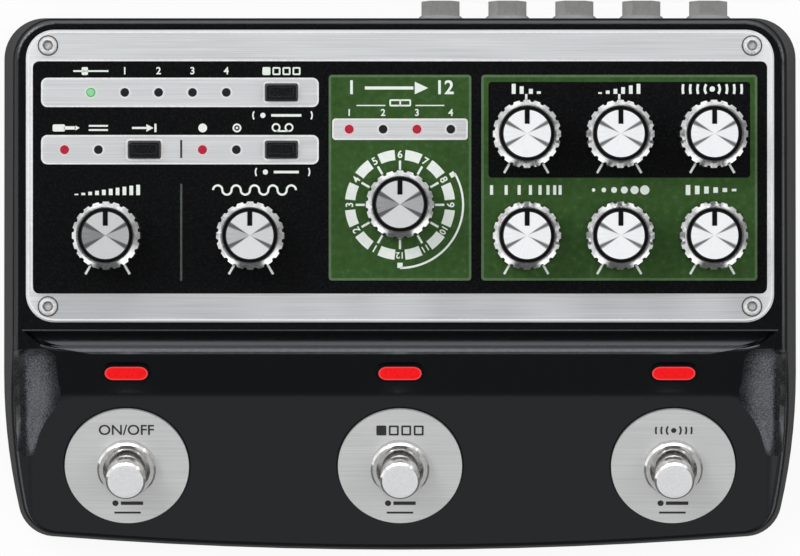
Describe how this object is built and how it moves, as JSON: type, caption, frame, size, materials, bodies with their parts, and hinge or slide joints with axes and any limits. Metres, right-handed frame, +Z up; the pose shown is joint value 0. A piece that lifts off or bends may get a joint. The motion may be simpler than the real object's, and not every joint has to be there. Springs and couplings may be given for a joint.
{
  "type": "tape echo pedal",
  "caption": "Foot pedal for tape-style echo: low sloped case with a panel of fluted knobs, press buttons and lamps, a foot switch deck in front and sockets along the rear wall.",
  "frame": {"origin": "on the floor under the middle of the bounding box", "axes": "+X to the player's right, +Y to the rear wall with the sockets, +Z up"},
  "size_m": [0.1936, 0.133, 0.0521],
  "materials": {
    "case_paint": "fine textured black paint",
    "base_paint": "satin black paint",
    "screw_steel": "bright steel",
    "foot_rubber": "matt black",
    "plate_aluminium": "fine satin",
    "overlay_black": "satin black print",
    "panel_green": "satin green print",
    "board_green": "solder mask",
    "spacer_brass": "turned",
    "pot_steel": "pressed",
    "switch_black": "moulded",
    "led_lens": "clear dome",
    "indicator_red": "translucent red, lit",
    "disc_aluminium": "brushed",
    "bush_chrome": "polished",
    "socket_black": "moulded",
    "port_steel": "drawn shell",
    "cable_grey": "flat cable",
    "knob_chrome": "bright fluted skirt",
    "cap_aluminium": "spun face",
    "shaft_steel": "turned",
    "button_black": "moulded",
    "plunger_chrome": "polished"
  },
  "bodies": {
    "chassis": {"case": "case_paint", "base_plate": "base_paint", "base_screws": "screw_steel", "rubber_feet": "foot_rubber", "control_plate": "plate_aluminium", "panel_overlay": "overlay_black", "green_panels": "panel_green", "panel_screws": "screw_steel", "control_board": "board_green", "board_spacers": "spacer_brass", "pot_bodies": "pot_steel", "mode_switch": "pot_steel", "tact_switches": "switch_black", "panel_leds": "led_lens", "indicator_lenses": "indicator_red", "lamp_board": "board_green", "footswitch_plates": "disc_aluminium", "footswitch_bushings": "bush_chrome", "footswitch_nuts": "screw_steel", "footswitch_bodies": "switch_black", "jack_board": "board_green", "phone_jacks": "socket_black", "jack_nuts": "bush_chrome", "mini_jacks": "socket_black", "usb_port": "port_steel", "dc_jack": "socket_black", "ribbon_cables": "cable_grey"},
    "saturation_control": {"saturation_knob": "knob_chrome", "saturation_cap": "cap_aluminium", "saturation_shaft": "shaft_steel"},
    "flutter_control": {"flutter_knob": "knob_chrome", "flutter_cap": "cap_aluminium", "flutter_shaft": "shaft_steel"},
    "mode_control": {"mode_knob": "knob_chrome", "mode_cap": "cap_aluminium", "mode_shaft": "shaft_steel"},
    "bass_control": {"bass_knob": "knob_chrome", "bass_cap": "cap_aluminium", "bass_shaft": "shaft_steel"},
    "treble_control": {"treble_knob": "knob_chrome", "treble_cap": "cap_aluminium", "treble_shaft": "shaft_steel"},
    "reverb_control": {"reverb_knob": "knob_chrome", "reverb_cap": "cap_aluminium", "reverb_shaft": "shaft_steel"},
    "repeat_rate_control": {"repeat_rate_knob": "knob_chrome", "repeat_rate_cap": "cap_aluminium", "repeat_rate_shaft": "shaft_steel"},
    "intensity_control": {"intensity_knob": "knob_chrome", "intensity_cap": "cap_aluminium", "intensity_shaft": "shaft_steel"},
    "echo_control": {"echo_knob": "knob_chrome", "echo_cap": "cap_aluminium", "echo_shaft": "shaft_steel"},
    "memory_button": {"memory_button": "button_black"},
    "input_button": {"input_button": "button_black"},
    "tape_button": {"tape_button": "button_black"},
    "left_foot_button": {"left_foot_button": "plunger_chrome"},
    "centre_foot_button": {"centre_foot_button": "plunger_chrome"},
    "right_foot_button": {"right_foot_button": "plunger_chrome"}
  },
  "joints": [
    {"name": "saturation_turn", "type": "hinge", "parent": "chassis", "child": "saturation_control", "pos_m": [-0.06995, 0.00926, 0.04375], "axis": [0, -0.0175, 0.9998], "range_deg": [-150, 150]},
    {"name": "flutter_turn", "type": "hinge", "parent": "chassis", "child": "flutter_control", "pos_m": [-0.03565, 0.00926, 0.04375], "axis": [0, -0.0175, 0.9998], "range_deg": [-150, 150]},
    {"name": "mode_turn", "type": "hinge", "parent": "chassis", "child": "mode_control", "pos_m": [0, 0.01666, 0.04388], "axis": [0, -0.0175, 0.9998], "range_deg": [-180, 150]},
    {"name": "bass_turn", "type": "hinge", "parent": "chassis", "child": "bass_control", "pos_m": [0.0302, 0.03346, 0.04417], "axis": [0, -0.0175, 0.9998], "range_deg": [-150, 150]},
    {"name": "treble_turn", "type": "hinge", "parent": "chassis", "child": "treble_control", "pos_m": [0.05245, 0.03346, 0.04417], "axis": [0, -0.0175, 0.9998], "range_deg": [-150, 150]},
    {"name": "reverb_turn", "type": "hinge", "parent": "chassis", "child": "reverb_control", "pos_m": [0.0747, 0.03346, 0.04417], "axis": [0, -0.0175, 0.9998], "range_deg": [-150, 150]},
    {"name": "repeat_rate_turn", "type": "hinge", "parent": "chassis", "child": "repeat_rate_control", "pos_m": [0.0302, 0.00926, 0.04375], "axis": [0, -0.0175, 0.9998], "range_deg": [-150, 150]},
    {"name": "intensity_turn", "type": "hinge", "parent": "chassis", "child": "intensity_control", "pos_m": [0.05245, 0.00926, 0.04375], "axis": [0, -0.0175, 0.9998], "range_deg": [-150, 150]},
    {"name": "echo_turn", "type": "hinge", "parent": "chassis", "child": "echo_control", "pos_m": [0.0747, 0.00926, 0.04375], "axis": [0, -0.0175, 0.9998], "range_deg": [-150, 150]},
    {"name": "memory_button_press", "type": "slide", "parent": "chassis", "child": "memory_button", "axis": [0, 0.0175, -0.9998], "range_m": [0, 0.0005], "stiffness_N_per_m": 400, "springref_m": -0.002},
    {"name": "input_button_press", "type": "slide", "parent": "chassis", "child": "input_button", "axis": [0, 0.0175, -0.9998], "range_m": [0, 0.0005], "stiffness_N_per_m": 400, "springref_m": -0.002},
    {"name": "tape_button_press", "type": "slide", "parent": "chassis", "child": "tape_button", "axis": [0, 0.0175, -0.9998], "range_m": [0, 0.0005], "stiffness_N_per_m": 400, "springref_m": -0.002},
    {"name": "left_foot_button_press", "type": "slide", "parent": "chassis", "child": "left_foot_button", "axis": [0, 0.3955, -0.9184], "range_m": [0, 0.002], "stiffness_N_per_m": 1500, "springref_m": -0.004},
    {"name": "centre_foot_button_press", "type": "slide", "parent": "chassis", "child": "centre_foot_button", "axis": [0, 0.3955, -0.9184], "range_m": [0, 0.002], "stiffness_N_per_m": 1500, "springref_m": -0.004},
    {"name": "right_foot_button_press", "type": "slide", "parent": "chassis", "child": "right_foot_button", "axis": [0, 0.3955, -0.9184], "range_m": [0, 0.002], "stiffness_N_per_m": 1500, "springref_m": -0.004}
  ]
}
